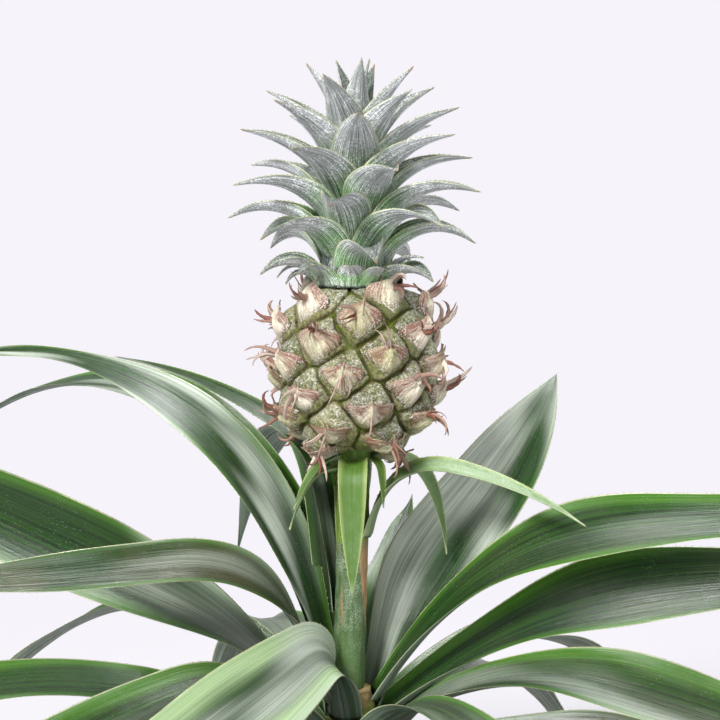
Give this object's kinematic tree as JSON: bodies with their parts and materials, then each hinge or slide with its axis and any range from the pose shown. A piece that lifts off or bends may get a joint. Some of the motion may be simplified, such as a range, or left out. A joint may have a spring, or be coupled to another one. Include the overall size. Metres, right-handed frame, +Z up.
{
  "type": "potted pineapple plant",
  "caption": "Potted pineapple plant: a spiral rosette of long channelled leaves, with a stalk that carries a small spiny fruit and its crown.",
  "frame": {"origin": "centre of the pot's flat underside, where it rests", "axes": "+Z is up along the stem. Seen from the front, which is the picture's side, +X is right and +Y is away"},
  "size_m": [0.568, 0.4572, 0.3799],
  "materials": {
    "terracotta": "matt unglazed clay",
    "potting_soil": "crumbly and matt",
    "stem_tissue": "matt, with leaf scars",
    "rosette_leaf": "waxy, with a silvery bloom and pale toothed margins",
    "stalk_tissue": "satin, scurfy, with tan scars",
    "stalk_leaf": "waxy, silvery underneath",
    "fruit_skin": "rough, frosted, with papery scales",
    "crown_leaf": "silvery with fine lines and toothed margins"
  },
  "bodies": {
    "root": {"pot": "terracotta", "soil": "potting_soil", "stem": "stem_tissue", "leaf_01": "rosette_leaf", "leaf_02": "rosette_leaf", "leaf_03": "rosette_leaf", "leaf_04": "rosette_leaf", "leaf_05": "rosette_leaf", "leaf_06": "rosette_leaf", "leaf_07": "rosette_leaf", "leaf_08": "rosette_leaf", "leaf_09": "rosette_leaf", "leaf_10": "rosette_leaf", "leaf_11": "rosette_leaf", "leaf_12": "rosette_leaf", "leaf_13": "rosette_leaf", "leaf_14": "rosette_leaf", "leaf_15": "rosette_leaf", "leaf_16": "rosette_leaf", "leaf_17": "rosette_leaf", "leaf_18": "rosette_leaf", "leaf_19": "rosette_leaf", "leaf_20": "rosette_leaf", "leaf_21": "rosette_leaf", "leaf_22": "rosette_leaf", "leaf_23": "rosette_leaf", "leaf_24": "rosette_leaf", "stalk": "stalk_tissue", "stalk_leaf_01": "stalk_leaf", "stalk_leaf_02": "stalk_leaf", "stalk_leaf_03": "stalk_leaf", "stalk_leaf_04": "stalk_leaf", "stalk_leaf_05": "stalk_leaf", "stalk_leaf_06": "stalk_leaf", "stalk_leaf_07": "stalk_leaf", "stalk_leaf_08": "stalk_leaf", "stalk_leaf_09": "stalk_leaf", "fruit": "fruit_skin", "crown": "crown_leaf"}
  },
  "joints": []
}
